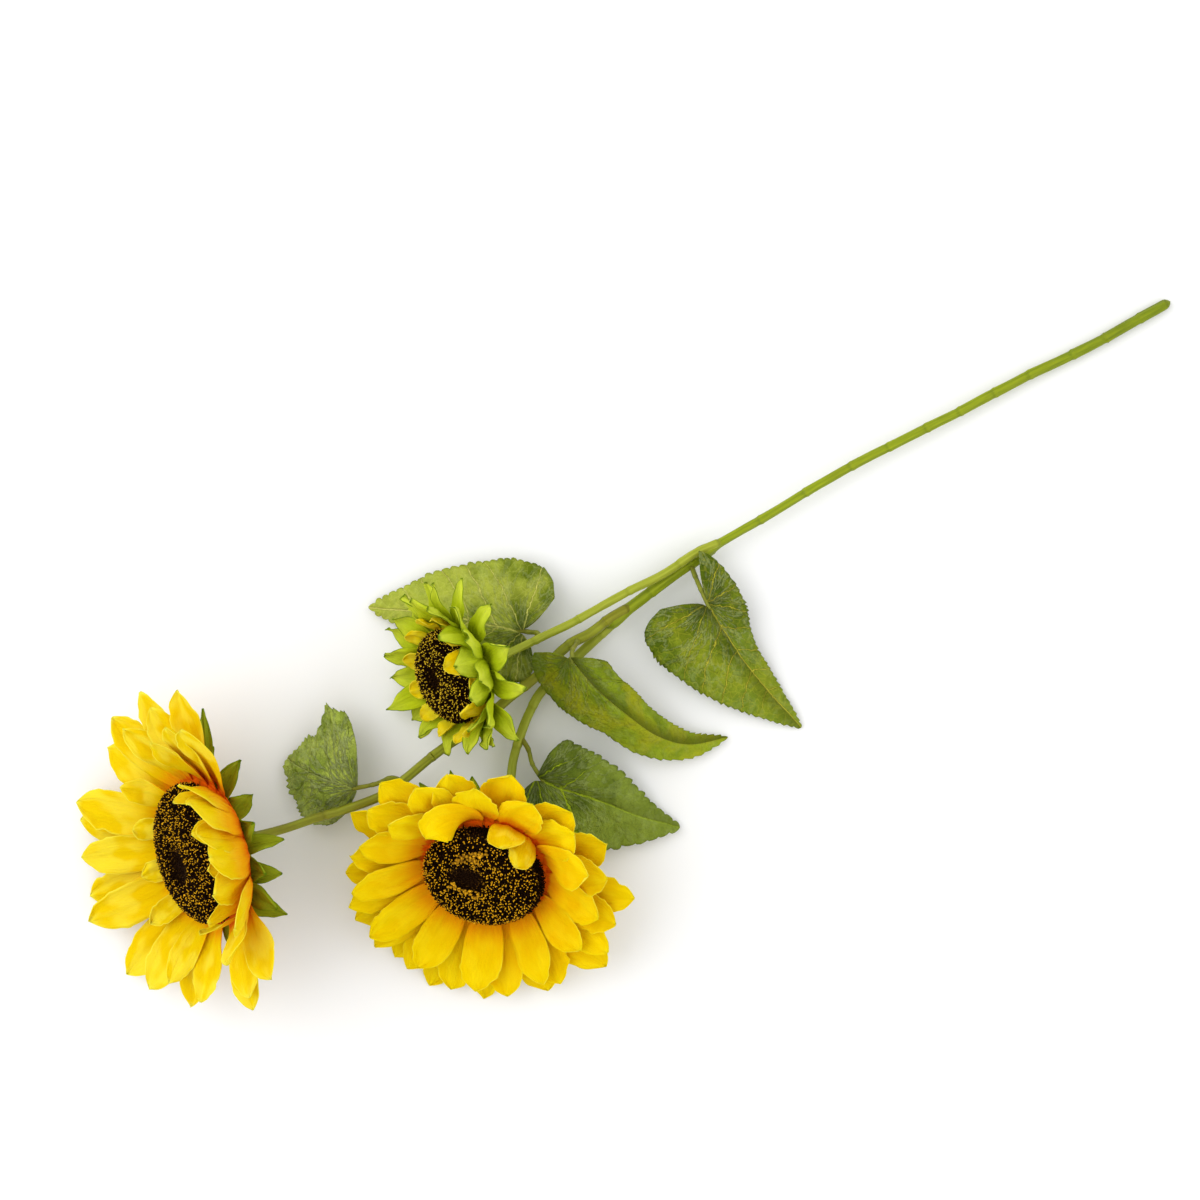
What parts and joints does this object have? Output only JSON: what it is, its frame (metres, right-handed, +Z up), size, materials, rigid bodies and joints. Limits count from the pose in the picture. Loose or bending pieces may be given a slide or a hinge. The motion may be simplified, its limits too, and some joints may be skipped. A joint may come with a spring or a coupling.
{
  "type": "cut sunflower spray",
  "caption": "Artificial sunflower spray lying at rest: a knuckled stem forks into branches carrying open heads, a half-open head and heart-shaped leaves on short stalks",
  "frame": {"origin": "centre of the bounding box, on the surface that the spray lies on", "axes": "+X runs along the main stem from the flower heads toward the cut end, +Z is up, +Y completes a right-handed frame"},
  "size_m": [0.6784, 0.2505, 0.1371],
  "materials": {
    "petal_fabric": "matt woven petal cloth, warm yellow turning orange at the base",
    "sepal_fabric": "matt woven cloth, yellow-green with darker edges",
    "leaf_fabric": "matt embossed leaf cloth, mottled green with yellow veins",
    "stem_plastic": "satin moulded plastic, yellow-green with shallow ridges",
    "receptacle_plastic": "satin moulded plastic, olive green",
    "seed_disc_plastic": "matt bristly disc, near black with golden brown tips"
  },
  "bodies": {
    "root": {"fork_stem": "stem_plastic", "head_a_petals_inner": "petal_fabric", "head_a_petals_middle": "petal_fabric", "head_a_petals_outer": "petal_fabric", "head_a_receptacle": "receptacle_plastic", "head_a_seed_disc": "seed_disc_plastic", "head_a_sepals_1": "sepal_fabric", "head_a_sepals_2": "sepal_fabric", "head_b_petals_inner": "petal_fabric", "head_b_petals_middle": "petal_fabric", "head_b_petals_outer": "petal_fabric", "head_b_receptacle": "receptacle_plastic", "head_b_seed_disc": "seed_disc_plastic", "head_b_sepals_1": "sepal_fabric", "head_b_sepals_2": "sepal_fabric", "head_c_petals": "petal_fabric", "head_c_receptacle": "receptacle_plastic", "head_c_seed_disc": "seed_disc_plastic", "head_c_sepals_1": "sepal_fabric", "head_c_sepals_2": "sepal_fabric", "head_c_sepals_3": "sepal_fabric", "leaf_1": "leaf_fabric", "leaf_2": "leaf_fabric", "leaf_3": "leaf_fabric", "leaf_4": "leaf_fabric", "leaf_5": "leaf_fabric", "main_stem": "stem_plastic", "petiole_1": "stem_plastic", "petiole_2": "stem_plastic", "petiole_3": "stem_plastic", "petiole_4": "stem_plastic", "petiole_5": "stem_plastic", "stem_a": "stem_plastic", "stem_b": "stem_plastic", "stem_c": "stem_plastic"}
  },
  "joints": []
}
